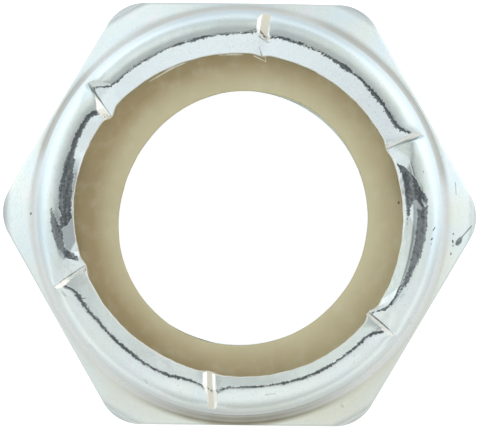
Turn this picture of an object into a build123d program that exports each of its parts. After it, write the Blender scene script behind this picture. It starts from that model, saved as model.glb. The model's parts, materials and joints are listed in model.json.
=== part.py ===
from build123d import *
import os
from math import asin, cos, degrees, hypot, radians, sin, tan

# Hexagon lock nut with a captive nylon ring. Millimetres, +Z up.
# The origin is the centre of the bearing face, and +Z runs up the bore towards the crimped collar.
# Two opposite corners of the hexagon lie on the X axis.

# Thread, 3/4-16 UNF. Its helix is left out: the bore is as wide as the thread's crests leave it.
thread_diameter = 19.05
thread_pitch = 1.5875
minor_diameter_allowance = 0.33
countersink_oversize = 0.375

# Hexagon
across_flats = 28.575
corner_rounding = 2.85
hexagon_height = 15.0
bearing_face_setback = 0.69
chamfer_angle = 30.0
corner_edge_rounding = 1.1
rim_bevel = 0.12

# Collar, drawn up from the hexagon
collar_height = 7.2
collar_setback = 0.14
collar_foot_fillet = 0.55
collar_wall = 1.3

# Crimp: the collar's end is rolled in over the ring, up to a crest and down along a lip
shoulder_width = 1.65
shoulder_radius = 1.88
crest_rounding = 0.25
lip_width = 1.05
lip_slope = 24.0
lip_thickness = 0.7

# Stakes, pressed across the crimp to keep the ring from turning
stake_count = 6
stake_first_angle = 22.4
stake_depth = 0.45
stake_width = 0.7
stake_shoulder_reach = 1.3

# Nylon ring, whose bore is a little narrower than the thread's crests
ring_height = 4.45
ring_bite = 0.38
ring_edge_bevel = 0.35

# Room left round the cutting shapes, so that they pass clean through the metal
cutter_margin = 1.0
corner_margin = 0.05

# A sharp internal thread is 1.0825 pitches smaller in diameter at its crests
thread_minor_radius = (thread_diameter - 1.0825 * thread_pitch + minor_diameter_allowance) / 2
countersink_radius = thread_diameter / 2 + countersink_oversize
ring_bore_radius = thread_minor_radius - ring_bite

# Radii, from the flats inwards
flat_distance = across_flats / 2
sharp_corner_radius = flat_distance / cos(radians(30))
corner_radius = sharp_corner_radius - corner_rounding * (1 / cos(radians(30)) - 1)
turned_radius = corner_radius + corner_margin
bearing_face_radius = flat_distance - bearing_face_setback
chamfer_start_radius = flat_distance - collar_setback
collar_radius = chamfer_start_radius - collar_foot_fillet
pocket_radius = collar_radius - collar_wall
crest_radius = collar_radius - shoulder_width
lip_opening_radius = crest_radius - lip_width


def on_circle(centre, radius, angle):
    """Point of the half-section on a circle, at an angle in degrees above the outward direction."""
    return (centre[0] + radius * cos(radians(angle)), centre[1] + radius * sin(radians(angle)))


# The shoulder is an arc tangent to the collar's wall and to the rounding of the crest
overall_height = hexagon_height + collar_height
crest_centre = (crest_radius, overall_height - crest_rounding)
centre_spacing = shoulder_radius - crest_rounding
shoulder_end_angle = 90 - degrees(asin((shoulder_radius - shoulder_width) / centre_spacing))
shoulder_centre = (
    collar_radius - shoulder_radius,
    crest_centre[1] - centre_spacing * sin(radians(shoulder_end_angle)),
)
lip_start = on_circle(crest_centre, crest_rounding, 90 + lip_slope)


def lip_height(radius):
    """Height of the lip's upper face at a radius."""
    return lip_start[1] - (lip_start[0] - radius) * tan(radians(lip_slope))


# The ring fills the pocket from its seat to the underside of the lip
ring_top = lip_height(lip_opening_radius) - lip_thickness
ring_seat = ring_top - ring_height
pocket_top = lip_height(pocket_radius) - lip_thickness


def turned_section():
    """Half-section of the whole nut as turned, out past the hexagon's corners."""
    chamfer_fall = (turned_radius - chamfer_start_radius) * tan(radians(chamfer_angle))
    chamfer_rise = (turned_radius - bearing_face_radius) * tan(radians(chamfer_angle))
    foot_centre = (chamfer_start_radius, hexagon_height + collar_foot_fillet)
    with BuildSketch(Plane.XZ) as section:
        with BuildLine():
            hexagon_side = Polyline(
                (thread_minor_radius, countersink_radius - thread_minor_radius),
                (countersink_radius, 0),
                (bearing_face_radius, 0),
                (turned_radius, chamfer_rise),
                (turned_radius, hexagon_height - chamfer_fall),
                (chamfer_start_radius, hexagon_height),
            )
            foot = ThreePointArc(
                hexagon_side @ 1,
                on_circle(foot_centre, collar_foot_fillet, 225),
                on_circle(foot_centre, collar_foot_fillet, 180),
            )
            wall = Line(foot @ 1, (collar_radius, shoulder_centre[1]))
            shoulder = ThreePointArc(
                wall @ 1,
                on_circle(shoulder_centre, shoulder_radius, shoulder_end_angle / 2),
                on_circle(shoulder_centre, shoulder_radius, shoulder_end_angle),
            )
            crest = ThreePointArc(shoulder @ 1, on_circle(crest_centre, crest_rounding, 90), lip_start)
            Polyline(
                crest @ 1,
                (lip_opening_radius, lip_height(lip_opening_radius)),
                (lip_opening_radius, ring_top),
                (pocket_radius, pocket_top),
                (pocket_radius, ring_seat),
                (thread_minor_radius, ring_seat),
                hexagon_side @ 0,
            )
        make_face()
        top_corner = section.vertices().sort_by_distance((turned_radius, hexagon_height))[0]
        fillet(top_corner, corner_edge_rounding)
    return section.sketch


def hexagon():
    """Plan of the hexagon with its corners rounded."""
    with BuildSketch() as plan:
        RegularPolygon(flat_distance, 6, major_radius=False)
        fillet(plan.vertices(), corner_rounding)
    return plan.sketch


def rim_edges(body):
    """Edges round the top of the hexagon's sides."""
    sides = body.faces().filter_by(
        lambda face: abs(face.normal_at().Z) < 0.001
        and hypot(face.center().X, face.center().Y) > chamfer_start_radius
    )
    rims = sides.edges().filter_by(Axis.Z, reverse=True)
    return rims.filter_by_position(Axis.Z, hexagon_height / 2, hexagon_height)


def stake_cutter():
    """V-shaped punch swung over the crimp, in the plane of the X axis."""
    outer_radius = crest_radius + stake_shoulder_reach
    shoulder_rise = (shoulder_radius**2 - (outer_radius - shoulder_centre[0]) ** 2) ** 0.5
    floor = ThreePointArc(
        (outer_radius, 0, shoulder_centre[1] + shoulder_rise),
        (crest_radius, 0, overall_height - stake_depth),
        (lip_opening_radius, 0, lip_height(lip_opening_radius) - stake_depth),
    )
    reach = stake_depth + cutter_margin
    half_width = stake_width / 2 * reach / stake_depth
    apex = floor.arc_center + Vector(floor.radius, 0, 0)
    tooth = Polyline(
        apex,
        apex + Vector(reach, half_width, 0),
        apex + Vector(reach, -half_width, 0),
        close=True,
    )
    # The swing starts and ends 20 degrees above level, clear of the collar's wall and of the lip
    swing = Axis(floor.arc_center, (0, -1, 0))
    start = Face(Wire(tooth)).rotate(swing, 20)
    return revolve(start, swing, 140)


def nut_body():
    turned = revolve(turned_section(), Axis.Z)
    body = turned & extrude(hexagon(), overall_height)
    body = chamfer(rim_edges(body), rim_bevel)
    stakes = [
        stake_cutter().rotate(Axis.Z, stake_first_angle + index * 360 / stake_count)
        for index in range(stake_count)
    ]
    return body - stakes


def nylon_insert():
    with BuildSketch(Plane.XZ) as section:
        with BuildLine():
            Polyline(
                (ring_bore_radius, ring_seat),
                (pocket_radius, ring_seat),
                (pocket_radius, pocket_top),
                (lip_opening_radius, ring_top),
                (ring_bore_radius, ring_top),
                close=True,
            )
        make_face()
        top_of_bore = section.vertices().sort_by_distance((ring_bore_radius, ring_top))[0]
        chamfer(top_of_bore, ring_edge_bevel)
    return revolve(section.sketch, Axis.Z)


os.makedirs("parts", exist_ok=True)
export_step(nut_body(), "parts/nut_body.step")
export_step(nylon_insert(), "parts/nylon_insert.step")
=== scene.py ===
import json
import bpy
from math import asin, cos, degrees, pi, radians, sin, tan
from mathutils import Matrix, Vector


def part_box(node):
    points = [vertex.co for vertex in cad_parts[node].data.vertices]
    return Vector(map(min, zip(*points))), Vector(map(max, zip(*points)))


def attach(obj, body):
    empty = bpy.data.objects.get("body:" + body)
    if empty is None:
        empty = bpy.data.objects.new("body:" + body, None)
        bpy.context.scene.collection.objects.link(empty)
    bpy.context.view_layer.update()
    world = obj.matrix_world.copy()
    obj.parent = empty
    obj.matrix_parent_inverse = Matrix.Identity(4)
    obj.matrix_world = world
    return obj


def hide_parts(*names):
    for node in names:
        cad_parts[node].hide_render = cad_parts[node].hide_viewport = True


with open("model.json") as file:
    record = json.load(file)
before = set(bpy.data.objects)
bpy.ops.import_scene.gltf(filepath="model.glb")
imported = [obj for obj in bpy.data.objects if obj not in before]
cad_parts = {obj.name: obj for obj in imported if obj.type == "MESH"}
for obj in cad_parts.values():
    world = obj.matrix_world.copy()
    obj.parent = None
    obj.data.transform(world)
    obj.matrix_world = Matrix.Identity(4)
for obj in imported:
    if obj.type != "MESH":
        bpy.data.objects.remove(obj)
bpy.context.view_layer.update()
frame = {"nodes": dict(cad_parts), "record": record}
metre = 0.001  # sizes below are in millimetres, finished meshes in metres
weldDistance = 2e-6  # in metres
mounts = {mount["name"]: mount for mount in frame["record"]["mounts"]}
print("frame loaded:", sorted(frame["nodes"]))


# A value in a node tree that adds, multiplies and compares as a number does
class Field:
    def __init__(self, tree, socket):
        self.tree = tree
        self.socket = socket

    def calc(self, operation, *others):
        node = self.tree.nodes.new("ShaderNodeMath")
        node.operation = operation
        for slot, value in zip(node.inputs, (self, *others)):
            plug(self.tree, value, slot)
        return Field(self.tree, node.outputs[0])

    def __add__(self, other):
        return self.calc("ADD", other)

    def __radd__(self, other):
        return self.calc("ADD", other)

    def __sub__(self, other):
        return self.calc("SUBTRACT", other)

    def __rsub__(self, other):
        return self.calc("MULTIPLY_ADD", -1, other)

    def __mul__(self, other):
        return self.calc("MULTIPLY", other)

    def __truediv__(self, other):
        return self.calc("DIVIDE", other)

    def sine(self):
        return self.calc("SINE")

    def cosine(self):
        return self.calc("COSINE")

    def root(self):
        return self.calc("SQRT")

    def size(self):
        return self.calc("ABSOLUTE")

    def floor(self):
        return self.calc("FLOOR")

    def atLeast(self, low):
        return self.calc("MAXIMUM", low)

    def atMost(self, high):
        return self.calc("MINIMUM", high)

    def above(self, limit):
        return self.calc("GREATER_THAN", limit)

    def wrap(self, low, high):
        return self.calc("WRAP", high, low)

    def bell(self, width):  # 1 at zero, fading on both sides
        ratio = self / width
        return (ratio * ratio * -1).calc("EXPONENT")

    def rise(self, low, high):  # 0 below low, 1 above high, smooth between
        node = self.tree.nodes.new("ShaderNodeMapRange")
        node.interpolation_type = "SMOOTHSTEP"
        for name, value in {"Value": self, "From Min": low, "From Max": high}.items():
            plug(self.tree, value, node.inputs[name])
        return Field(self.tree, node.outputs[0])

    def toward(self, other, share):
        return self + (other - self) * share


def plug(tree, value, slot):
    if isinstance(value, Field):
        value = value.socket
    if isinstance(value, bpy.types.NodeSocket):
        tree.links.new(value, slot)
    else:
        slot.default_value = value


def addNode(tree, kind, inputs, **settings):
    node = tree.nodes.new(kind)
    for name, value in settings.items():
        setattr(node, name, value)
    for name, value in inputs.items():
        plug(tree, value, node.inputs[name])
    return node


def noise(tree, vector, scale, detail, seed):
    inputs = {"Vector": vector, "W": seed, "Scale": scale, "Detail": detail}
    node = addNode(tree, "ShaderNodeTexNoise", inputs, noise_dimensions="4D")
    return Field(tree, node.outputs[0])


def vectorMath(tree, operation, *values, result="Vector"):
    node = addNode(tree, "ShaderNodeVectorMath", dict(enumerate(values)), operation=operation)
    return node.outputs[result]


# The number that such a node gives, as a distance does
def measure(tree, operation, *values):
    return Field(tree, vectorMath(tree, operation, *values, result="Value"))


def combine(tree, x, y, z):
    return addNode(tree, "ShaderNodeCombineXYZ", {"X": x, "Y": y, "Z": z}).outputs[0]


# Shares of a run that is cut into equal steps, its start left out
def shares(count):
    return [step / count for step in range(1, count + 1)]


def mix(start, end, share):
    return start + (end - start) * share


def onCircle(centre, radius, angle):
    return centre[0] + radius * cos(radians(angle)), centre[1] + radius * sin(radians(angle))


# The settings that are single numbers, which become the tree's inputs
def plainSizes(sizes):
    return {label: value for label, value in sizes.items() if isinstance(value, (int, float))}


# A tree that grows a mesh of rows and columns from a section, with an input for each size
def startTree(name, sizes):
    tree = bpy.data.node_groups.new(name, "GeometryNodeTree")
    tree.interface.new_socket("Section", in_out="INPUT", socket_type="NodeSocketGeometry")
    for label, value in plainSizes(sizes).items():
        kind = "NodeSocketInt" if isinstance(value, int) else "NodeSocketFloat"
        tree.interface.new_socket(label, in_out="INPUT", socket_type=kind)
    tree.interface.new_socket("Mesh", in_out="OUTPUT", socket_type="NodeSocketGeometry")
    given = tree.nodes.new("NodeGroupInput")
    inputs = {label: Field(tree, given.outputs[label]) for label in plainSizes(sizes)}
    return tree, given.outputs["Section"], inputs


# The bare grid, each vertex's share of a turn, and what its row of the section says
def rowsAndColumns(tree, section, size, labels):
    inputs = {"Vertices X": size["columns"] + 1, "Vertices Y": size["rows"]}
    grid = addNode(tree, "GeometryNodeMeshGrid", inputs).outputs["Mesh"]
    index = Field(tree, tree.nodes.new("GeometryNodeInputIndex").outputs[0])
    column = ((index + 0.5) / size["rows"]).floor()
    row = index - column * size["rows"]
    mark = {}
    for label in labels:
        named = addNode(tree, "GeometryNodeInputNamedAttribute", {"Name": label}, data_type="FLOAT")
        inputs = {"Geometry": section, "Value": named.outputs["Attribute"], "Index": row}
        sample = addNode(tree, "GeometryNodeSampleIndex", inputs, data_type="FLOAT", domain="POINT")
        mark[label] = Field(tree, sample.outputs["Value"])
    return grid, column / size["columns"], mark


# Rolls the grid up round the axis, welds it and keeps the marks that the finish reads
def endTree(tree, mesh, angle, radius, height, kept, material, creaseAngle):
    place = combine(tree, radius * angle.cosine() * metre, radius * angle.sine() * metre, height * metre)
    for label, value in kept.items():
        inputs = {"Geometry": mesh, "Name": label, "Value": value}
        stored = addNode(tree, "GeometryNodeStoreNamedAttribute", inputs, data_type="FLOAT", domain="POINT")
        mesh = stored.outputs["Geometry"]
    mesh = addNode(tree, "GeometryNodeSetPosition", {"Geometry": mesh, "Position": place}).outputs[0]
    inputs = {"Geometry": mesh, "Distance": weldDistance}
    mesh = addNode(tree, "GeometryNodeMergeByDistance", inputs).outputs[0]
    mesh = addNode(tree, "GeometryNodeFlipFaces", {"Mesh": mesh}).outputs[0]
    bend = Field(tree, tree.nodes.new("GeometryNodeInputMeshEdgeAngle").outputs["Unsigned Angle"])
    smooth = 1 - bend.above(radians(creaseAngle))
    mesh = addNode(tree, "GeometryNodeSetShadeSmooth", {"Geometry": mesh}, domain="FACE").outputs[0]
    inputs = {"Geometry": mesh, "Shade Smooth": smooth}
    mesh = addNode(tree, "GeometryNodeSetShadeSmooth", inputs, domain="EDGE").outputs[0]
    mesh = addNode(tree, "GeometryNodeRealizeInstances", {"Geometry": mesh}).outputs[0]
    mesh = addNode(tree, "GeometryNodeSetMaterial", {"Geometry": mesh, "Material": material}).outputs[0]
    tree.links.new(mesh, tree.nodes.new("NodeGroupOutput").inputs["Mesh"])


# One vertex for each row of the section, which carries the row's numbers to the tree
def sectionObject(name, rows, labels):
    mesh = bpy.data.meshes.new(name)
    mesh.from_pydata([(row["radius"] * metre, 0, row["height"] * metre) for row in rows], [], [])
    for label in labels:
        attribute = mesh.attributes.new(label, "FLOAT", "POINT")
        attribute.data.foreach_set("value", [float(row.get(label, 0)) for row in rows])
    piece = bpy.data.objects.new(name, mesh)
    bpy.context.scene.collection.objects.link(piece)
    return piece


# Runs the tree on the section and keeps the mesh that it grows
def growMesh(piece, tree, sizes):
    modifier = piece.modifiers.new(tree.name, "NODES")
    modifier.node_group = tree
    for item in tree.interface.items_tree:
        if item.name in sizes:
            modifier[item.identifier] = sizes[item.name]
    evaluated = piece.evaluated_get(bpy.context.evaluated_depsgraph_get())
    grown = bpy.data.meshes.new_from_object(evaluated)
    piece.modifiers.remove(modifier)
    piece.data = grown
    print(piece.name, "grown:", len(grown.vertices), "vertices,", len(grown.polygons), "faces")


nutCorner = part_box("nut_body")[1]
ringLow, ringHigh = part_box("nylon_insert")
flatDistance = nutCorner.y / metre
cornerRadius = nutCorner.x / metre
sharpCorner = flatDistance / cos(radians(30))
chamferAngle = radians(30)
chamferSlope = tan(chamferAngle)
flankSlope = tan(radians(30))  # of the thread
rootHalf = 1 / 16  # half the flat at the thread's root, as a share of the pitch

# The nut's body. Angles are in degrees, anticlockwise from the X axis as seen from above.
nutSizes = {
    "columns": 540,
    "flatDistance": flatDistance,
    "cornerRounding": (sharpCorner - cornerRadius) / (1 / cos(radians(30)) - 1),
    "hexagonHeight": 15.0,
    "bearingRadius": flatDistance - 0.69,
    "footRadius": flatDistance - 0.14,
    "envelopeRadius": cornerRadius + 0.05,  # of the turned blank
    "cornerEdgeRounding": 1.1,
    "rimRounding": 0.22,
    "topHeight": nutCorner.z / metre - 0.01,
    "lipWidth": 1.05,
    "ringSeat": ringLow.z / metre,
    "minorRadius": mounts["thread"]["dims"]["r_mm"],
    "majorRadius": 9.56,
    "pitch": 1.5875,
    "countersinkRadius": 9.9,
    "stakeBunching": 0.5,  # how far the columns crowd towards the stakes
    "stakeFirst": 22.4,
    "crimpMiddle": 12.0,  # radius about which the stakes lean and fall
    "bendReach": 0.8,
    "burrHeight": 0.03,
    "burrWidth": 0.05,
    "burrReach": 0.9,
    "lipPush": 0.2,
    "pushReach": 0.45,
    "capDrop": 0.11,  # how far the jaws flattened the crest
    "lipDrift": 0.18,  # how far the lip's opening lies off the axis
    "lobeSize": 0.147,
    "lobeTurn": 156.7,
    "cornering": 0.06,
    "corneringTurn": 60.0,
    "crestWander": 0.2,
    "lipRipple": 0.16,
    "stakeRipple": 0.06,
    "waviness": 0.06,
    "capGap": 0.003,  # between the top and the level at which the jaws held the crest
    # Scale, detail and seed of each uneven pattern
    "patterns": {
        "wander": (0.22, 2.0, 3.1),
        "ripple": (1.1, 2.0, 7.7),
        "waves": (0.35, 2.0, 1.3),
    },
    # Sizes of the section alone, from the foot of the collar to the pocket
    "profile": {
        "footFillet": 0.55,
        "footStart": 15.0,  # how steeply the fillet starts, in degrees
        "shoulderRadius": 1.88,
        "shoulderWidth": 1.65,
        "crestRounding": 0.25,
        "lipSlope": 24.0,
        "lipThickness": 0.7,
        "lipEdgeRounding": 0.13,
        "pocketRadius": ringHigh.x / metre,
    },
    # Each stake was struck by its own jaw. Turn from an even sixth and lean across the lip, then
    # depth, half width of the floor, slopes and bends of the crest. Back is the side towards
    # smaller angles, ahead the other. The crease falls towards the axis by creaseFall and
    # outwards by tipFall, and alongLip is 1 where the jaw's mark shows on the lip too.
    "stakes": {
        "turn": (1.4, 0.5, -0.6, -1.4, -1.0, 0.4),
        "lean": (0.0, 0.5, -3.1, 2.0, 2.2, -0.3),
        "depth": (0.46, 0.13, 0.42, 0.41, 0.15, 0.45),
        "floor": (0.0, 0.27, 0.0, 0.02, 0.18, 0.0),
        "slopeBack": (0.34, 0.8, 0.34, 0.32, 0.62, 1.3),
        "slopeAhead": (1.4, 0.78, 0.82, 1.0, 0.62, 0.36),
        "creaseFall": (0.3, 0.4, 0.3, 0.3, 0.4, 0.3),
        "bendBack": (-0.75, -0.3, 0.85, -0.75, 0.2, 0.75),
        "bendAhead": (0.8, 0.2, -0.75, 0.75, 0.45, -0.7),
        "push": (0.6, 0.5, 1.3, 0.9, 0.5, 1.4),
        "tipFall": (0.0, 0.47, 0.0, 0.0, 0.40, 0.0),
        "alongLip": (1.0, 0.0, 1.0, 1.0, 1.0, 1.0),
    },
    # Arcs round the nut: start, end, the fades before and after them, and how much
    "arcs": {
        "crestDrift": ((32, 80, 6, 10, 0.1), (254, 278, 8, 18, -0.2), (204, 211, 3, 9, 0.2)),
        "lipFlat": ((168, 193, 9, 4, 1), (8, 17, 6, 4, 1)),
        "crestFlat": ((182, 194, 7, 5, 1), (-6, 7, 28, 5, 1)),
        "ridgeGap": ((163, 200.5, 5, 1, 1), (-21, 23.5, 4, 1, 1)),
        "ridgeWidth": (
            (28, 52, 3, 14, 0.35), (80, 130, 8, 8, -0.25), (146, 160, 5, 8, 0.6),
            (204, 242, 4, 8, 0.1), (240, 285, 8, 8, -0.25), (308, 318, 6, 3, 0.3),
        ),
        "dullLipRight": ((275, 318, 40, 16, 0.9),),
        "dullLipLeft": ((206, 235, 6, 12, 0.5),),
        # Where the painted glint on the lip's edge is fainter
        "brightEdge": ((50, 130, 15, 15, -0.4),),
        # Painted shade in the crevice at the collar's foot, and a painted contact shadow near the bottom
        # flat
        "dustyFoot": ((14, 62, 8, 14, 0.3), (80, 115, 10, 10, 0.14), (142, 160, 8, 8, 0.3)),
        "dirtyFoot": ((268, 276, 38, 36, 1),),
        "shadedWall": ((236, 304, 20, 20, 1),),
        "upperHalf": ((-5, 185, 25, 25, 1),),
    },
    # Bruises of the jaws on the crimp, where a dark reflection is painted with them: angle, inner and outer
    # radius, by rising angle
    "bruises": (
        (
            (147, 11.98, 12.02), (157, 11.74, 12.02), (162, 11.62, 12.1), (165, 11.48, 12.14),
            (169, 11.32, 12.1), (173, 11.24, 12.1), (178, 11.2, 12.1), (183, 11.2, 12.02),
            (185, 11.5, 12.0), (186.5, 12.1, 12.0),
        ),
        (
            (178.5, 12.6, 12.58), (183.5, 12.2, 12.65), (186.5, 11.86, 12.62), (190, 11.88, 12.5),
            (193, 11.78, 12.27), (195.5, 11.3, 12.0), (197, 11.16, 11.5), (198, 11.3, 11.15),
        ),
        (
            (-4, 11.28, 11.22), (2, 11.18, 11.46), (4.5, 11.15, 12.0), (5.5, 11.15, 12.62),
            (7.4, 11.15, 12.3), (9.5, 11.15, 12.14), (12, 11.15, 11.95), (14.5, 11.1, 11.7),
            (17.8, 11.0, 11.12), (19, 11.1, 11.0),
        ),
        (
            (-29, 11.82, 11.8), (-26.8, 11.86, 11.98), (-24.2, 11.88, 12.12), (-21.5, 11.88, 12.26),
            (-17, 11.92, 12.34), (-14.8, 11.92, 12.47), (-8.5, 11.9, 12.55), (0, 11.87, 12.6),
            (4.8, 11.9, 12.62), (7, 12.3, 12.3),
        ),
    ),
    # A place on the lip that a jaw left dull, in the same way
    "dullPlace": (
        (-30, 11.2, 11.3), (-25, 11.0, 11.75), (-21, 11.0, 11.92), (-6, 11.1, 11.88),
        (-2, 11.15, 11.6), (0, 11.2, 11.25),
    ),
}

# What a row of the section says: its place, which way it faces and the part of the nut it is in
nutLabels = ("radius", "height", "leanOut", "leanUp", "hexagon", "spread", "rim", "climb",
             "thread", "crown", "crest", "lip", "edge", "below", "soft", "along", "foot")


def nutSection(sizes):
    rows = []

    def row(radius, height, **marks):
        rows.append({"along": 9, **marks, "radius": radius, "height": height})

    profile = sizes["profile"]
    foot, hexTop, bearing = sizes["footRadius"], sizes["hexagonHeight"], sizes["bearingRadius"]
    shoulder, crest, edge = profile["shoulderRadius"], profile["crestRounding"], profile["lipEdgeRounding"]
    collar = foot - profile["footFillet"]
    crestCentre = (collar - profile["shoulderWidth"], sizes["topHeight"] - crest)
    across = (shoulder - profile["shoulderWidth"]) / (shoulder - crest)
    rise = (1 - across * across) ** 0.5
    shoulderCentre = (collar - shoulder, crestCentre[1] - (shoulder - crest) * rise)
    shoulderEnd = 90 - degrees(asin(across))
    shoulderLength = shoulder * radians(shoulderEnd)
    lipTurn = 90 + profile["lipSlope"]
    crestHalf = crest * radians(lipTurn - shoulderEnd) / 2
    lipStart = onCircle(crestCentre, crest, lipTurn)
    opening = crestCentre[0] - sizes["lipWidth"]
    fall = tan(radians(profile["lipSlope"]))
    underEdge = lipStart[1] - (lipStart[0] - opening) * fall - profile["lipThickness"]
    underPocket = underEdge + (profile["pocketRadius"] - opening) * fall

    # Bearing face, lower chamfer, lower rim, flats
    for share in [0] + shares(2):
        row(mix(sizes["countersinkRadius"], bearing, share), 0)
    for share in shares(3):
        row(bearing, 0, hexagon=1, spread=share)
    for share in shares(4):
        row(bearing, 0, hexagon=1, spread=1, rim=share)
    for share in shares(5):
        row(bearing, 0, hexagon=1, spread=1, rim=1, climb=share)
    # Upper rim and chamfer, foot of the collar, collar wall
    for share in shares(4):
        row(foot, hexTop, hexagon=1, spread=1, rim=1 - share, climb=1)
    for share in shares(9):
        nearFoot = smooth(share * 5 - 4) * 0.6
        row(foot, hexTop, hexagon=1, spread=1 - share, climb=1, foot=nearFoot)
    start = radians(profile["footStart"])
    fillet = (foot - collar) / (1 - sin(start))
    footCentre = (collar + fillet, hexTop + fillet * cos(start))
    for share in shares(8):
        turned = mix(270 - profile["footStart"], 180, share)
        row(*onCircle(footCentre, fillet, turned), foot=1 - smooth(share * 1.4 - 0.4))
    for share in shares(5):
        row(collar, mix(footCentre[1], shoulderCentre[1], share))
    # Shoulder, crest and lip of the crimp
    for share in shares(24):
        place = onCircle(shoulderCentre, shoulder, shoulderEnd * share)
        along = -crestHalf - shoulderLength * (1 - share)
        row(*place, crown=share, crest=smooth((share - 0.25) / 0.75), along=along)
    for share in shares(5):
        place = onCircle(crestCentre, crest, mix(shoulderEnd, lipTurn, share))
        row(*place, crown=1, crest=1, along=mix(-crestHalf, crestHalf, share))
    edgeStart = opening + edge + edge * cos(radians(lipTurn))
    edgeHeight = lipStart[1] - (lipStart[0] - edgeStart) * fall
    lipLength = (lipStart[0] - edgeStart) / cos(radians(profile["lipSlope"]))
    for share in shares(16):
        place = mix(lipStart[0], edgeStart, share), mix(lipStart[1], edgeHeight, share)
        row(*place, crown=1, crest=1 - share, lip=share, along=crestHalf + lipLength * share)
    edgeCentre = (opening + edge, edgeHeight - edge * sin(radians(lipTurn)))
    for share in shares(4):
        place = onCircle(edgeCentre, edge, mix(lipTurn, 180, share))
        row(*place, crown=1, lip=1, edge=1, below=edgeHeight - place[1])
    for share in shares(3):
        height = mix(edgeCentre[1], underEdge, share)
        row(opening, height, crown=1 - share, lip=1, below=edgeHeight - height, soft=share)
    for share in shares(3):
        row(mix(opening, profile["pocketRadius"], share), mix(underEdge, underPocket, share), lip=1 - share)
    # Pocket, seat and thread
    seat, minor, pitch = sizes["ringSeat"], sizes["minorRadius"], sizes["pitch"]
    for share in shares(3):
        row(profile["pocketRadius"], mix(underPocket, seat, share))
    row(mix(profile["pocketRadius"], sizes["majorRadius"], 0.7), seat)
    row(minor, seat, thread=1)
    for turn in range(int(seat / pitch) + 1, -2, -1):
        for phase in reversed(threadCorners(sizes)):
            if (turn + phase) * pitch < seat:
                row(minor, (turn + phase) * pitch, thread=1)
    setLeans(rows)
    return rows


def smooth(share):
    share = min(max(share, 0), 1)
    return share * share * (3 - 2 * share)


# Shares of a pitch at which the thread's profile turns
def threadCorners(sizes):
    flank = (sizes["majorRadius"] - sizes["minorRadius"]) * flankSlope / sizes["pitch"]
    return 0.5 - rootHalf - flank, 0.5 - rootHalf, 0.5 + rootHalf, 0.5 + rootHalf + flank


# The outward direction of each row, across its neighbours in the section
def setLeans(rows):
    for before, here, after in zip([rows[-1]] + rows, rows, rows[1:] + [rows[0]]):
        along = Vector((after["radius"] - before["radius"], after["height"] - before["height"]))
        if along.length > 1e-9:
            along.normalize()
        here["leanOut"], here["leanUp"] = along.y, -along.x


# 1 between two angles round the nut, in degrees, fading over the given spans outside them
def arcMask(angle, start, end, fadeIn, fadeOut):
    middle = (start + end) / 2
    away = (angle - radians(middle)).wrap(-pi, pi) / radians(1)
    half = (end - start) / 2
    return away.rise(-half - fadeIn, -half) * (1 - away.rise(half, half + fadeOut))


# The amounts of the arcs that an angle lies in, added up
def arcSum(angle, arcs):
    total = 0
    for *arc, amount in arcs:
        total = total + arcMask(angle, *arc) * amount
    return total


# How far inside a bruise's outline a place lies, in mm, below 0 outside it
def insideBruise(angle, radius, stations):
    middle = (stations[0][0] + stations[-1][0]) / 2
    place = (angle / radians(1) - middle).wrap(-180, 180) + middle
    inner, outer = stations[0][1:]
    for before, here in zip(stations, stations[1:]):
        share = ((place - before[0]) / (here[0] - before[0])).atLeast(0).atMost(1)
        inner = inner + share * (here[1] - before[1])
        outer = outer + share * (here[2] - before[2])
    beyond = (stations[0][0] - place).atLeast(0) + (place - stations[-1][0]).atLeast(0)
    return (radius - inner).atMost(outer - radius) - beyond * 0.1


# One of six values, by the number of the stake
def pickStake(tree, number, values):
    node = tree.nodes.new("GeometryNodeIndexSwitch")
    node.data_type = "FLOAT"
    while len(node.index_switch_items) < len(values):
        node.index_switch_items.new()
    plug(tree, number, node.inputs["Index"])
    for slot, value in zip(node.inputs[1:], values):
        slot.default_value = value
    return Field(tree, node.outputs[0])


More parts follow.
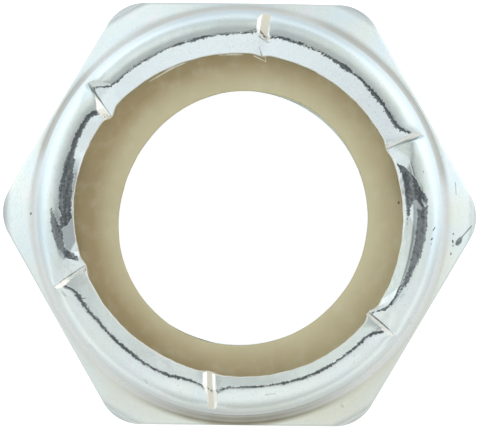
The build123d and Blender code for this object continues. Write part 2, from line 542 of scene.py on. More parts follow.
def nutTree(sizes, material):
    tree, section, size = startTree("nutBody", sizes)
    arcs = sizes["arcs"]
    mesh, turn, row = rowsAndColumns(tree, section, size, nutLabels)

    # Columns crowd towards the stakes, a sixth of a turn apart, with one column on each
    first = size["stakeFirst"] * radians(1)
    sixth = radians(60)
    even = turn * radians(360)
    angle = first + even - (even * 6).sine() * size["stakeBunching"] / 6
    stepped = (angle - first) / sixth + 0.5
    number = stepped.floor().wrap(0, 6)
    fromStake = (stepped - stepped.floor() - 0.5) * sixth

    # Hexagon's outline in plan, with rounded corners
    fromFlat = ((angle / sixth - (angle / sixth).floor()) * sixth - sixth / 2).size()
    fromCorner = sixth / 2 - fromFlat
    rounding = size["cornerRounding"]
    centre = (size["flatDistance"] - rounding) / cos(sixth / 2)
    offset = centre * fromCorner.sine()
    onCorner = centre * fromCorner.cosine() + (rounding * rounding - offset * offset).root()
    onFlat = size["flatDistance"] / fromFlat.cosine()
    flatEnd = (size["flatDistance"] - rounding) * tan(sixth / 2) / size["flatDistance"]
    isCorner = fromFlat.calc("TANGENT").above(flatEnd)
    outline = onFlat.toward(onCorner, isCorner)

    # The rim turns from the chamfer to the flat; at the corners the chamfer's own edge is rounded
    edge = size["cornerEdgeRounding"]
    edgeCentre = size["envelopeRadius"] - edge
    edgeTangent = edgeCentre + edge * sin(chamferAngle)
    startSine = ((outline - edgeCentre) / edge).atLeast(sin(chamferAngle)).atMost(0.995)
    startSine = startSine.toward(sin(chamferAngle), 1 - row["climb"])
    startAngle = startSine.calc("ARCSINE")
    rimAngle = startAngle.toward(radians(90), row["rim"])
    rimRounding = size["rimRounding"]
    inner = outline - rimRounding + rimRounding * startSine
    rimDrop = rimRounding * (rimAngle.cosine() - startAngle.cosine())
    rimRadius = outline - rimRounding + rimRounding * rimAngle.sine()
    hexRadius = row["radius"].toward(rimRadius, row["spread"])
    reach = hexRadius.atMost(inner)
    cone = size["hexagonHeight"] - (reach - size["footRadius"]) * chamferSlope
    edgeHeight = size["hexagonHeight"] - (edgeTangent - size["footRadius"]) * chamferSlope
    edgeHeight = edgeHeight - edge * cos(chamferAngle)
    beyond = (reach - edgeCentre).atLeast(0)
    rounded = edgeHeight + (edge * edge - beyond * beyond).root()
    topHeight = cone.toward(rounded, reach.above(edgeTangent)) + rimDrop
    lowHeight = (reach - size["bearingRadius"]) * chamferSlope - rimDrop
    hexHeight = lowHeight.toward(topHeight, row["climb"])
    # Rims and the rounded corner edges, later painted grey, partly as wear and partly as a painted
    # reflection of dark surroundings
    worn = (beyond / (edge * 0.5) - 0.8).rise(0.0, 0.6).atLeast(row["rim"] * 0.8)
    radius = row["radius"].toward(hexRadius, row["hexagon"])
    height = row["height"].toward(hexHeight, row["hexagon"])

    # Thread: rows follow the helix and stop at the seat and at the bearing face
    helix = (row["height"] + size["pitch"] * turn).atLeast(0).atMost(size["ringSeat"])
    phase = helix / size["pitch"] - turn
    fromRoot = (phase - phase.floor() - 0.5).size() * size["pitch"]
    depth = (fromRoot - size["pitch"] * rootHalf).atLeast(0) / flankSlope
    profile = (size["majorRadius"] - depth).atLeast(size["minorRadius"])
    profile = profile.atLeast(size["countersinkRadius"] - helix)
    radius = radius.toward(profile, row["thread"])
    height = height.toward(helix, row["thread"])

    # Crimp: the crest wanders, the lip's edge has lobes, and beside the jaws both lie flat
    place = combine(tree, angle.cosine() * radius, angle.sine() * radius, height)
    wander = noise(tree, place, *sizes["patterns"]["wander"]) - 0.5
    ripple = noise(tree, place, *sizes["patterns"]["ripple"]) - 0.5
    drift = arcSum(angle, arcs["crestDrift"])
    radius = radius + row["crest"] * (wander * size["crestWander"] + drift)
    lobes = ((angle - size["lobeTurn"] * radians(1)) * 2).cosine() * size["lobeSize"]
    lobes = lobes + ((angle - size["corneringTurn"] * radians(1)) * 3).cosine() * size["cornering"]
    lobes = lobes - angle.sine() * size["lipDrift"]
    radius = radius + (lobes + ripple * size["lipRipple"]) * row["lip"]
    lipFlat = arcSum(angle, arcs["lipFlat"])
    crestFlat = arcSum(angle, arcs["crestFlat"])
    lipFall = size["lipWidth"] * tan(radians(sizes["profile"]["lipSlope"])) * 0.9
    height = height + lipFlat * lipFall * row["lip"] * (row["crown"] + row["soft"])
    flatTop = size["topHeight"] - size["capGap"] - crestFlat * size["capDrop"]
    capped = (height - flatTop).atLeast(0) * row["crown"].above(0.02)
    height = height - capped

    # Stakes: the jaw left two facets that meet in a crease, and bent the crest on either side
    across = fromStake * radius
    here = {label: pickStake(tree, number, values) for label, values in sizes["stakes"].items()}
    spread = (across / (here["floor"] * 2 + 0.02) + 0.5).atLeast(0).atMost(1)
    bend = here["bendBack"].toward(here["bendAhead"], spread)
    radius = radius + bend * across.bell(size["bendReach"]) * row["crest"]
    push = across.bell(size["pushReach"]) * size["lipPush"] * here["push"]
    radius = radius - push * row["lip"] * row["lip"]
    slope = here["slopeBack"].toward(here["slopeAhead"], across.above(0))
    fromFloor = (across.size() - here["floor"]).atLeast(0)
    inward = (size["crimpMiddle"] - radius).atLeast(0)
    outward = (radius - size["crimpMiddle"]).atLeast(0)
    facet = size["topHeight"] - here["depth"] - inward * here["creaseFall"] + fromFloor * slope
    facet = facet + ripple * size["stakeRipple"] - outward * outward * here["tipFall"]
    marked = 1 - row["lip"].rise(0.0, 0.25) * (1 - here["alongLip"])
    cut = (height + row["below"] - facet).atLeast(0) * row["crown"].above(0.02) * marked
    burr = cut.bell(size["burrWidth"]) * across.bell(size["burrReach"]) * size["burrHeight"]
    burr = burr * row["crown"].above(0.5) * (1 - crestFlat)
    height = (height + (burr - cut) * (1 - row["soft"])).atMost(size["topHeight"])
    lean = here["lean"] * (radius - size["crimpMiddle"]) / 2
    window = (fromStake * 6).cosine() * 0.5 + 0.5
    angle = angle + (here["turn"] + lean) * radians(1) * window * row["crown"]

    # The whole outside is a little uneven, the crimp more than the rest
    uneven = (noise(tree, place, *sizes["patterns"]["waves"]) - 0.8) * size["waviness"]
    outer = (row["crown"] * 0.8 + 0.2) * (1 - row["thread"])
    outer = outer * row["height"].above(0.01).calc("MAXIMUM", row["hexagon"])
    outer = outer * (row["crown"] + row["hexagon"] + row["spread"]).atMost(1)
    radius = radius + uneven * outer * row["leanOut"]
    height = height + uneven * outer * row["leanUp"] * (1 - row["hexagon"])

    # Marks for the finish: bruises and the ridge line with a partly painted dark reflection, dull places,
    # painted glints, rims painted grey for wear and shade, and painted shade at the foot
    inside = insideBruise(angle, radius, sizes["bruises"][0])
    for bruise in sizes["bruises"][1:]:
        inside = inside.atLeast(insideBruise(angle, radius, bruise))
    dull = arcSum(angle, arcs["dullLipRight"]).atLeast(arcSum(angle, arcs["dullLipLeft"]))
    dull = dull.atLeast(insideBruise(angle, radius, sizes["dullPlace"]).rise(-0.03, 0.03))
    ridge = (arcSum(angle, arcs["ridgeWidth"]) + 1) * (1 - arcSum(angle, arcs["ridgeGap"]))
    contactShade = arcSum(angle, arcs["dirtyFoot"])
    creviceShade = arcSum(angle, arcs["dustyFoot"])
    onTop = row["hexagon"] * row["climb"].above(0.99)
    onCrown = row["crown"].above(0.5)
    nearFoot = onTop * (1 - (radius - size["footRadius"]).rise(0.0, 0.35))
    shaded = arcSum(angle, arcs["shadedWall"]) * row["leanOut"].rise(0.5, 0.85) * (1 - row["hexagon"])
    # Painted shade: darker in the crevice at the collar's foot, on the chamfer beside it and on the lower
    # wall, most near the bottom flat as a painted contact shadow
    soil = row["foot"] * row["foot"] * row["foot"] * (0.05 + contactShade * 0.65 + creviceShade)
    soil = soil + nearFoot * (contactShade * 0.9 + creviceShade) + shaded * (0.1 + contactShade * 0.25)
    cream = (angle - radians(290)).cosine() * 0.75 + 0.1 - row["spread"] * 0.3
    # Painted shade: the grey of the rims is stronger on the upper and left sides
    rimShadeBySide = angle.sine() * 0.27 - angle.cosine() * 0.14 + 0.78
    isCut = cut.rise(0.0, 0.04)
    onFloor = 1 - fromFloor.above(0.01)
    flatFloor = here["floor"].above(0.1)
    wall = isCut * slope.rise(0.4, 0.6) * (1 - onFloor) * marked
    kept = {
        "crush": (inside + 1).atLeast(0) * onCrown - 1,
        "pressed": (lipFlat * row["lip"].rise(0, 0.1) * row["crown"]).atLeast(capped.rise(0.0, 0.03)),
        "ridge": ridge,
        "dull": dull * row["lip"].above(0) * onCrown,
        "along": row["along"],
        "around": angle * size["crimpMiddle"],
        "worn": onTop * worn * rimShadeBySide,
        "foot": row["foot"],
        "soil": soil,
        # Painted glints on the lip's inner edge and the stakes' walls, over burnished bare metal
        "burnish": (row["edge"] * (arcSum(angle, arcs["brightEdge"]) + 0.9)).atLeast(wall),
        "matte": row["edge"].atLeast(wall * slope.rise(0.9, 1.3)),
        "groove": isCut * onFloor * flatFloor * marked,
        "crease": isCut * (1 - fromFloor.rise(0.0, 0.06)) * (1 - flatFloor),
        "upper": arcSum(angle, arcs["upperHalf"]),
        "outward": row["leanOut"] * (1 - row["hexagon"]),
        "warm": row["hexagon"] * cream.atLeast(0),
    }
    endTree(tree, mesh, angle, radius, height, kept, material, creaseAngle=28)
    return tree


# The nylon ring. Its bore is a little off centre, lobed, and wider at the seat.
ringSizes = {
    "columns": 240,
    "boreRadius": mounts["insert_bore"]["dims"]["r_mm"] - 0.04,
    "shiftAcross": 0.258,
    "shiftDown": 0.43,
    "lobeSize": 0.155,
    "lobeTurn": 66.0,
    "cornering": 0.05,
    "corneringTurn": -20.0,
    "unevenBore": 0.1,
    "unevenFace": 0.05,
    "sag": 0.05,
    "pattern": (0.5, 1.0, 2.4),  # of its unevenness: scale, detail and seed
    # Sizes of the section alone
    "profile": {
        "outerRadius": ringHigh.x / metre,
        "seat": ringLow.z / metre,
        "outerTop": ringHigh.z / metre,
        "lipRadius": 10.8975,
        "underLip": 0.2,  # how far the level face runs in under the lip
        "top": 21.056,
        "edgeRounding": 0.15,
        "flare": 0.13,
        "seatRounding": 0.3,
    },
    # Arcs where the bore is wider, as for the nut
    "widerBore": ((42, 60, 20, 15, 0.05), (272, 290, 12, 15, 0.03)),
}

ringLabels = ("radius", "height", "bore", "face")


def ringSection(sizes):
    rows = []

    def row(radius, height, **marks):
        rows.append({"radius": radius, "height": height, **marks})

    profile = sizes["profile"]
    top, seat = profile["top"], profile["seat"]
    faceEnd = profile["lipRadius"] + profile["underLip"]
    seatStart = sizes["boreRadius"] + profile["seatRounding"]
    row(seatStart, seat, bore=1)
    for share in shares(3):
        row(mix(seatStart, profile["outerRadius"], share), seat, bore=1 - share)
    for share in shares(4):
        row(profile["outerRadius"], mix(seat, profile["outerTop"], share))
    for share in shares(4):
        row(mix(profile["outerRadius"], faceEnd, share), mix(profile["outerTop"], top, share))
    edge = (sizes["boreRadius"] + profile["edgeRounding"], top - profile["edgeRounding"])
    for share in shares(14):
        row(mix(faceEnd, edge[0], share), top, face=1 - share, bore=share)
    for share in shares(7):
        row(*onCircle(edge, profile["edgeRounding"], 90 + 90 * share), bore=1)
    for share in shares(6):
        height = mix(edge[1], seat + profile["seatRounding"], share)
        row(sizes["boreRadius"] + profile["flare"] * share, height, bore=1)
    row(seatStart, seat, bore=1)
    return rows


def ringTree(sizes, material):
    tree, section, size = startTree("nylonInsert", sizes)
    mesh, turn, row = rowsAndColumns(tree, section, size, ringLabels)
    angle = turn * radians(360)
    radius, height = row["radius"], row["height"]
    place = combine(tree, angle.cosine() * radius, angle.sine() * radius, height)
    shift = angle.cosine() * size["shiftAcross"] - angle.sine() * size["shiftDown"]
    lobes = ((angle - size["lobeTurn"] * radians(1)) * 2).cosine() * size["lobeSize"]
    lobes = lobes + ((angle - size["corneringTurn"] * radians(1)) * 3).cosine() * size["cornering"]
    lobes = lobes + arcSum(angle, sizes["widerBore"])
    uneven = noise(tree, place, *sizes["pattern"]) - 0.5
    radius = radius + row["bore"] * (shift + lobes + uneven * size["unevenBore"])
    sag = row["face"] * (1 - row["face"]) * 4 * size["sag"]
    height = height - sag + uneven * row["face"] * size["unevenFace"]
    kept = {"fromBore": radius - size["boreRadius"]}
    endTree(tree, mesh, angle, radius, height, kept, material, creaseAngle=40)
    return tree


# A material, its tree, places on the piece in mm and its shader
def startMaterial(name):
    material = bpy.data.materials.new(name)
    material.use_nodes = True
    tree = material.node_tree
    coordinates = tree.nodes.new("ShaderNodeTexCoord").outputs["Object"]
    scaled = addNode(tree, "ShaderNodeVectorMath", {0: coordinates, "Scale": 1 / metre}, operation="SCALE")
    return material, tree, scaled.outputs[0], tree.nodes["Principled BSDF"]


def readMark(tree, name):
    return Field(tree, addNode(tree, "ShaderNodeAttribute", {}, attribute_name=name).outputs["Fac"])


def mixColour(tree, start, end, share):
    inputs = {"Factor": share, 6: start, 7: end}
    return addNode(tree, "ShaderNodeMix", inputs, data_type="RGBA").outputs[2]


def bump(tree, heights, distance, normal=None):
    inputs = {"Height": heights, "Distance": distance * metre, "Strength": 1.0}
    if normal:
        inputs["Normal"] = normal
    return addNode(tree, "ShaderNodeBump", inputs).outputs[0]


# What the zinc reads from the mesh, as the nut's tree kept it
nutMarks = ("crush", "pressed", "ridge", "dull", "along", "around", "worn", "foot", "soil", "burnish",
            "matte", "groove", "crease", "upper", "outward", "warm")

# Bright zinc plating, scuffed and bruised
zincFinish = {
    "blueWhite": (0.77, 0.90, 0.94, 1),
    "greenish": (0.82, 0.91, 0.88, 1),
    "skyBlue": (0.77, 0.92, 0.98, 1),
    "iceBlue": (0.85, 0.95, 0.98, 1),
    "whitish": (0.87, 0.955, 0.93, 1),
    "dull": (0.58, 0.655, 0.62, 1),
    "footTint": (0.88, 0.88, 0.86, 1),
    "cream": (0.72, 0.74, 0.61, 1),
    "rosy": (0.89, 0.89, 0.93, 1),
    "rubbed": (0.58, 0.655, 0.61, 1),
    "floor": (0.86, 0.85, 0.72, 1),
    "worn": (0.56, 0.62, 0.63, 1),
    "grime": (0.25, 0.23, 0.15, 1),
    "bruiseDark": (0.075, 0.09, 0.095, 1),
    "bruisePale": (0.42, 0.46, 0.47, 1),
    "burnished": (1.0, 0.99, 0.93, 1),
    "roughness": 0.2,
    "dimpleDepth": 0.014,  # depths in mm
    "grainDepth": 0.007,
    "bruiseDepth": 0.02,
    "ridgeWobble": 0.26,
    "ridgeWidth": 0.29,
    "ridgeInset": 0.07,
    "rimFlecks": 0.34,  # how ragged the rims of bruises and of the ridge are
    "rimRags": 0.26,
    "bruiseCover": 0.93,
    # Scale, detail and seed of each pattern
    "patterns": {
        "tint": (0.4, 3.0, 0.7),
        "cloud": (0.8, 4.0, 4.1),
        "dimples": (1.6, 3.0, 3.3),
        "grain": (6.0, 4.0, 9.0),
        "flecks": (7.0, 3.0, 8.0),
        "ragged": (2.5, 4.0, 1.0),
        "wobble": (3.2, 4.0, 2.0),
        "width": (0.5, 3.0, 6.0),
    },
    "streaks": (1.3, 4.0, 5.0),  # in the same way, drawn out along the ridge
    "streakStretch": (0.3, 2.6),
    # Scuffs on the collar and chamfers: start and end of each stroke, as x, y and half width in mm
    "scuffs": (
        (14.8, -1.8, 0.15, 15.0, -1.42, 0.1),
        (14.95, -1.5, 0.05, 15.72, -0.6, 0.025),
        (14.48, -1.1, 0.05, 14.49, -1.2, 0.04),
        (14.45, -1.6, 0.04, 14.47, -1.72, 0.06),
        (14.48, -1.92, 0.05, 14.47, -2.0, 0.04),
        (14.35, -2.45, 0.03, 14.33, -2.55, 0.035),
        (13.0, -1.06, 0.03, 13.12, -0.86, 0.05),
        (12.88, -1.68, 0.06, 12.95, -1.6, 0.04),
        (12.87, -1.95, 0.03, 12.86, -2.02, 0.03),
        (-14.12, -0.1, 0.05, -14.12, -0.16, 0.05),
        (14.6, 2.35, 0.012, 14.65, 1.5, 0.012),
        (12.28, 2.86, 0.03, 12.3, 2.82, 0.03),
        (1.2, 11.06, 0.015, 1.38, 10.5, 0.04),
        (-10.71, -5.97, 0.05, -10.18, -5.88, 0.02),
        (-10.58, -6.08, 0.04, -10.21, -6.41, 0.025),
        (-10.38, -6.15, 0.08, -10.3, -6.35, 0.05),
    ),
    # Faint smudges, drawn in the same way
    "smudges": (
        (11.5, -7.1, 0.16, 11.55, -7.2, 0.14),
        (-6.15, -11.35, 0.16, -6.05, -11.5, 0.1),
        (7.05, -12.85, 0.1, 7.15, -12.95, 0.08),
        (-11.75, -5.5, 0.1, -11.55, -5.75, 0.05),
        (-11.2, -7.5, 0.06, -10.7, -8.3, 0.05),
        (-9.9, -9.0, 0.05, -9.3, -9.6, 0.04),
        (9.1, -8.0, 0.05, 9.4, -7.6, 0.05),
        (10.9, -5.6, 0.06, 11.1, -5.3, 0.04),
        (1.9, -12.2, 0.06, 2.6, -12.1, 0.04),
    ),
    # Bright places left in the bruises
    "bright": (
        (11.78, 0.78, 0.16, 12.1, 0.4, 0.1),
        (11.6, 0.55, 0.1, 11.75, 0.35, 0.12),
        (-12.1, 0.02, 0.06, -11.95, -0.4, 0.08),
        (12.2, 0.95, 0.05, 12.45, 0.55, 0.06),
    ),
}


# 1 on a stroke drawn on the plan, from x, y and half width to x, y and half width, with a ragged rim
def strokeShare(tree, place, ragged, stroke):
    startX, startY, startWidth, endX, endY, endWidth = stroke
    span = (endX - startX, endY - startY, 0)
    squared = span[0] ** 2 + span[1] ** 2
    flat = vectorMath(tree, "MULTIPLY", place, (1, 1, 0))
    start = vectorMath(tree, "SUBTRACT", flat, (startX, startY, 0))
    along = measure(tree, "DOT_PRODUCT", start, span)
    share = (along / squared).atLeast(0).atMost(1)
    nearest = addNode(tree, "ShaderNodeVectorMath", {0: span, "Scale": share}, operation="SCALE").outputs[0]
    halfWidth = share * (endWidth - startWidth) + startWidth
    away = measure(tree, "DISTANCE", start, nearest)
    return 1 - (away / halfWidth + (ragged - 0.5) * 3).rise(0.6, 1.3)


def zincPlate(finish):
    material, tree, place, surface = startMaterial("zincPlate")
    mark = {name: readMark(tree, name) for name in nutMarks}
    pattern = {name: noise(tree, place, *numbers) for name, numbers in finish["patterns"].items()}
    tint, cloud, dimples = pattern["tint"], pattern["cloud"], pattern["dimples"]
    grain, flecks, ragged = pattern["grain"], pattern["flecks"], pattern["ragged"]
    along, upper = mark["along"], mark["upper"]
    onLip = along.rise(0.0, 0.15) * (1 - along.rise(2.0, 3.0))

    # The plating's own tints, bluer on the upper half, paler and rosier on the lower, cream on the flats
    colour = mixColour(tree, finish["blueWhite"], finish["greenish"], tint.rise(0.35, 0.65))
    colour = mixColour(tree, colour, finish["rosy"], cloud.rise(0.52, 0.72) * 0.6)
    patchy = (1.15 - cloud * 0.6) * upper
    colour = mixColour(tree, colour, finish["skyBlue"], mark["outward"].rise(0.45, 0.8) * patchy)
    colour = mixColour(tree, colour, finish["iceBlue"], onLip * patchy)
    colour = mixColour(tree, colour, finish["whitish"], (1 - upper) * (cloud * 1.8 - 0.2).atMost(1))
    colour = mixColour(tree, colour, finish["rosy"], (1 - upper) * dimples.rise(0.54, 0.68) * 0.5)
    colour = mixColour(tree, colour, finish["footTint"], mark["foot"] * 0.6)
    colour = mixColour(tree, colour, finish["cream"], (mark["warm"] + tint * 0.3).rise(0.1, 1.2))
    # Rims painted grey, partly wear and partly a painted reflection of dark surroundings, with grain
    worn = (mark["worn"] + grain.rise(0.35, 0.75) * 0.12).atMost(1)
    colour = mixColour(tree, colour, finish["worn"], worn)
    # Painted shade, brownish, at the foot of the collar and near the bottom flat
    colour = mixColour(tree, colour, finish["grime"], mark["soil"] * (cloud * 0.4 + 0.8))

    # Outside the ridge the upper half is painted grey, partly rubbed by the crimping tool and partly a
    # painted reflection, and the tool left specks on both sides
    rubbed = along.rise(-1.3, -0.85) * (1 - along.rise(-0.25, 0.0)) * upper
    colour = mixColour(tree, colour, finish["rubbed"], rubbed * (0.28 + dimples * 0.45))
    specks = flecks.rise(0.6, 0.68) * cloud.rise(0.45, 0.6) * (1 - along.size().rise(0.9, 1.6))
    colour = mixColour(tree, colour, finish["worn"], specks * 0.5)
    colour = mixColour(tree, colour, finish["dull"], mark["dull"] * (dimples * 0.4 + 0.6))
    colour = mixColour(tree, colour, finish["floor"], mark["groove"])

    # Bruises and the ridge line, dark and rough, with brighter streaks: partly real bruising and wear,
    # partly a painted reflection of the dark opening above
    lengthwise, crosswise = finish["streakStretch"]
    drawn = combine(tree, mark["around"] * lengthwise, along * crosswise, 0.0)
    streaks = noise(tree, drawn, *finish["streaks"])
    rim = (ragged - 0.5) * finish["rimRags"] + (flecks - 0.5) * finish["rimFlecks"]
    bruised = (mark["crush"] + rim).rise(-0.02, 0.04)
    for stroke in finish["bright"]:
        bruised = bruised * (1 - strokeShare(tree, place, ragged * 0.5 + flecks * 0.5, stroke))
    wobble = (pattern["wobble"] - 0.5) * finish["ridgeWobble"]
    width = pattern["width"] * finish["ridgeWidth"] * mark["ridge"] + rim - finish["ridgeInset"]
    line = 1 - ((along + wobble).size() - width).rise(-0.02, 0.05)
    line = line * mark["ridge"].rise(0.2, 0.8)
    dark = bruised.atLeast(line)
    fromAbove = 1 - mark["outward"].rise(0.85, 0.96)
    for stroke in finish["smudges"]:
        faint = strokeShare(tree, place, ragged, stroke) * (0.15 + flecks * 0.35)
        dark = dark.atLeast(faint * fromAbove)
    for stroke in finish["scuffs"]:
        dark = dark.atLeast(strokeShare(tree, place, ragged, stroke) * fromAbove)
    # Painted reflection: the bruises are painted darker on the upper half
    tone = (streaks * 0.5 + grain * 0.5).rise(0.40, 0.60) * (1 - line * 0.7) * (1 - upper * 0.4)
    bruise = mixColour(tree, finish["bruiseDark"], finish["bruisePale"], tone)
    colour = mixColour(tree, colour, bruise, dark * finish["bruiseCover"])
    # Painted shade along the creases of the stakes
    colour = mixColour(tree, colour, finish["bruiseDark"], mark["crease"] * 0.6)
    # Painted glints on burnished bare metal at the lip's edge and the stakes' walls
    colour = mixColour(tree, colour, finish["burnished"], mark["burnish"])
    plug(tree, colour, surface.inputs["Base Color"])

    matte = mark["matte"].atLeast(mark["groove"]).atLeast(mark["foot"] * 0.6)
    plug(tree, 1 - matte * 0.9, surface.inputs["Metallic"])
    roughness = grain * 0.08 + mark["pressed"] * 0.1 + dark * 0.15 + mark["foot"] * 0.3
    plug(tree, roughness + finish["roughness"], surface.inputs["Roughness"])
    normal = bump(tree, dimples, finish["dimpleDepth"])
    normal = bump(tree, grain, finish["grainDepth"], normal)
    normal = bump(tree, flecks * dark, finish["bruiseDepth"], normal)
    plug(tree, normal, surface.inputs["Normal"])
    return material


# Aged nylon, slightly translucent, with painted shade darker towards the lip and across the nut from one
# side
nylonFinish = {
    "nearLip": (0.43, 0.34, 0.18, 1),
    "nearBore": (0.67, 0.63, 0.405, 1),
    "pale": (0.76, 0.73, 0.56, 1),
    "fleck": (0.10, 0.07, 0.04, 1),
    "sliver": (0.88, 0.85, 0.70, 1),
    "fadeWidth": 2.5,
    "slant": (0.045, -0.02, 0),  # the way in which it grows paler, across the nut
    "roughness": 0.42,
    "translucent": 0.25,
    "reach": (0.0012, 0.0010, 0.0006),  # of light inside it, in metres
    "reliefDepth": 0.03,
    "patterns": {
        "streaks": (1.2, 4.0, 4.0),
        "blotches": (0.45, 3.0, 1.5),
        "smears": (1.0, 3.0, 6.0),
    },
    # A speck of dirt, and slivers of the lip's edge that lie over the ring, drawn as the scuffs are
    "dirt": ((10.68, 0.73, 0.08, 10.68, 0.8, 0.08),),
    "slivers": (
        (-6.14, 8.67, 0.02, -4.68, 9.56, 0.05),
        (-4.68, 9.56, 0.05, -3.15, 10.24, 0.02),
        (-1.48, 10.5, 0.02, -0.7, 10.55, 0.045),
        (-0.7, 10.55, 0.045, 0.12, 10.56, 0.02),
        (0.86, 10.5, 0.03, 1.66, 10.1, 0.02),
        (1.66, 10.1, 0.02, 1.6, 10.44, 0.03),
    ),
}


def nylonPlastic(finish):
    material, tree, place, surface = startMaterial("nylonPlastic")
    pattern = {name: noise(tree, place, *numbers) for name, numbers in finish["patterns"].items()}
    streaks = pattern["streaks"]
    # Painted shade: darker towards the lip, where its shadow falls, and darker across the nut from one side
    side = measure(tree, "DOT_PRODUCT", place, finish["slant"])
    share = readMark(tree, "fromBore").rise(-0.2, finish["fadeWidth"]) * (1 - side * 0.5)
    share = share - side * 0.35 + (pattern["blotches"] - 0.5) * 0.4
    colour = mixColour(tree, finish["nearBore"], finish["nearLip"], share.atLeast(-0.3).atMost(1))
    colour = mixColour(tree, colour, finish["pale"], pattern["smears"].rise(0.45, 0.8) * 0.25)
    for stroke in finish["dirt"]:
        colour = mixColour(tree, colour, finish["fleck"], strokeShare(tree, place, streaks, stroke))
    for stroke in finish["slivers"]:
        colour = mixColour(tree, colour, finish["sliver"], strokeShare(tree, place, streaks, stroke))
    plug(tree, colour, surface.inputs["Base Color"])
    surface.inputs["Subsurface Weight"].default_value = finish["translucent"]
    surface.inputs["Subsurface Radius"].default_value = finish["reach"]
    plug(tree, finish["roughness"] + streaks * 0.15, surface.inputs["Roughness"])
    plug(tree, bump(tree, streaks, finish["reliefDepth"]), surface.inputs["Normal"])
    return material


zinc = zincPlate(zincFinish)
nylon = nylonPlastic(nylonFinish)
print("finishes ready:", zinc.name, nylon.name)


# Grows one piece, which stands in for a CAD node in the visual model
def buildPiece(name, node, sizes, makeSection, labels, makeTree, material):
    rows = makeSection(sizes)
    sizes = dict(sizes, rows=len(rows))
    piece = sectionObject(name, rows, labels)
    growMesh(piece, makeTree(sizes, material), sizes)
    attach(piece, "root")
    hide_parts(node)


buildPiece("crimped_nut", "nut_body", nutSizes, nutSection, nutLabels, nutTree, zinc)
buildPiece("nylon_ring", "nylon_insert", ringSizes, ringSection, ringLabels, ringTree, nylon)

# The paper that the nut lies on, the tent of light round it and the camera above
studio = {
    "cameraHeight": 600.0,
    "cameraOffset": (2.0, -12.5),
    "aim": (0.034, -0.01, 14.5),
    "roll": 0.7,
    "lens": 648.5,
    "floorSize": 4000.0,
    "floorColour": (0.36, 0.36, 0.36, 1),
    "floorRoughness": 0.9,
    "floorGlow": 0.38,
    "floorGlowSeen": 0.54,
    # What polished metal sees of that glow, painted light for reflections: little near the nut, a painted
    # shadow, more of it further off, and painted pools of light towards the brightest light on the floor
    "glowNear": 0.14,
    "glowFar": 0.42,
    "farFrom": (20, 100),  # in mm
    "glowLit": 0.55,
    "litFrom": 0.76,  # cosine of the angle from the brightest light
    "windows": (25, 143),  # azimuths of the brightest light
    "tentLevel": 0.80,
    # Soft boxes and darker places of the tent: azimuth, angle from straight up, half width and
    # softness in degrees, and what each adds to the tent's level
    "patches": (
        (30, 85, 24, 14, 0.50),
        (158, 85, 24, 14, 0.44),
        (120, 58, 16, 8, 0.25),
        (60, 60, 14, 8, 0.09),
        (0, 60, 16, 8, 0.20),
        (180, 60, 16, 8, 0.15),
        (275, 94, 30, 12, -0.16),
        (275, 52, 30, 12, 0.12),
        (95, 18, 30, 8, -0.22),
        (180, 34, 12, 6, -0.12),
    ),
    "opening": (90, 2.5, 12, 2.0, -0.82),  # dark opening for the lens, as a share
}


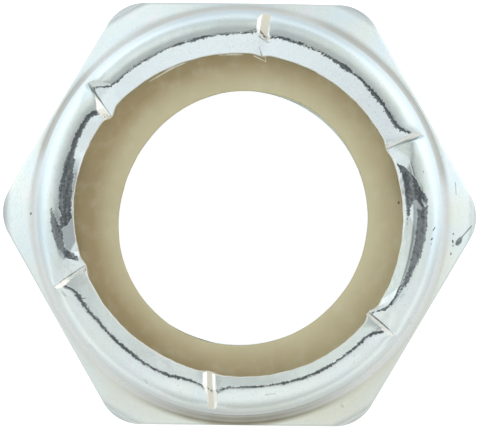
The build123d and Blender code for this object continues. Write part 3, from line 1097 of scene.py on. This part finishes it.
def makeFloor(settings):
    half = settings["floorSize"] * metre / 2
    mesh = bpy.data.meshes.new("floor")
    corners = [(-half, -half, 0), (half, -half, 0), (half, half, 0), (-half, half, 0)]
    mesh.from_pydata(corners, [], [(0, 1, 2, 3)])
    floor = bpy.data.objects.new("floor", mesh)
    bpy.context.scene.collection.objects.link(floor)
    material = bpy.data.materials.new("paperFloor")
    material.use_nodes = True
    tree = material.node_tree
    surface = tree.nodes["Principled BSDF"]
    surface.inputs["Base Color"].default_value = settings["floorColour"]
    surface.inputs["Roughness"].default_value = settings["floorRoughness"]
    surface.inputs["Specular IOR Level"].default_value = 0.0
    surface.inputs["Emission Color"].default_value = (1, 1, 1, 1)
    rays = tree.nodes.new("ShaderNodeLightPath").outputs
    place = tree.nodes.new("ShaderNodeTexCoord").outputs["Object"]
    reach = measure(tree, "LENGTH", place)
    far = (reach / metre).rise(*settings["farFrom"])
    toward = vectorMath(tree, "NORMALIZE", place)
    lit = 0
    for azimuth in settings["windows"]:
        window = (cos(radians(azimuth)), sin(radians(azimuth)), 0)
        nearness = measure(tree, "DOT_PRODUCT", toward, window)
        lit = lit + nearness.rise(settings["litFrom"], 1.0)
    # Painted light for reflections: less glow near the nut stands in for its shadow, more towards the
    # windows for pools of light
    mirrored = far * settings["glowFar"] + settings["glowNear"] + lit * settings["glowLit"]
    seen = Field(tree, rays["Is Camera Ray"]).atLeast(rays["Is Transmission Ray"])
    seen = seen.atLeast(Field(tree, rays["Is Glossy Ray"]) * mirrored)
    glow = seen * settings["floorGlowSeen"] + settings["floorGlow"]
    plug(tree, glow, surface.inputs["Emission Strength"])
    mesh.materials.append(material)


# 1 inside a round patch of the tent, seen from the nut, fading at its rim
def patchShare(tree, direction, patch):
    azimuth, zenith, halfWidth, softness = (radians(value) for value in patch[:4])
    axis = (sin(zenith) * cos(azimuth), sin(zenith) * sin(azimuth), cos(zenith))
    nearness = measure(tree, "DOT_PRODUCT", direction, axis)
    return 1 - nearness.calc("ARCCOSINE").rise(halfWidth - softness, halfWidth + softness)


def makeWorld(settings):
    world = bpy.data.worlds.new("softTent")
    bpy.context.scene.world = world
    world.use_nodes = True
    tree = world.node_tree
    direction = tree.nodes.new("ShaderNodeTexCoord").outputs["Generated"]
    level = settings["tentLevel"]
    for patch in settings["patches"]:
        level = level + patchShare(tree, direction, patch) * patch[4]
    level = level * (1 + patchShare(tree, direction, settings["opening"]) * settings["opening"][4])
    background = tree.nodes["Background"]
    background.inputs["Color"].default_value = (1, 1, 1, 1)
    plug(tree, level, background.inputs["Strength"])


def makeCamera(settings):
    lensData = bpy.data.cameras.new("camera")
    lensData.lens = settings["lens"]
    lensData.sensor_width = 36
    lensData.clip_start = 0.01
    camera = bpy.data.objects.new("camera", lensData)
    bpy.context.scene.collection.objects.link(camera)
    place = Vector((*settings["cameraOffset"], settings["cameraHeight"])) * metre
    ahead = (Vector(settings["aim"]) * metre - place).normalized()
    right = ahead.cross(Vector((0, 1, 0))).normalized()
    turned = Matrix((right, right.cross(ahead), -ahead)).transposed()
    turned = turned @ Matrix.Rotation(radians(settings["roll"]), 3, "Z")
    camera.matrix_world = Matrix.LocRotScale(place, turned.to_quaternion(), None)
    bpy.context.scene.camera = camera


makeFloor(studio)
makeWorld(studio)
makeCamera(studio)
bpy.context.scene.view_settings.view_transform = "Standard"
print("studio ready")
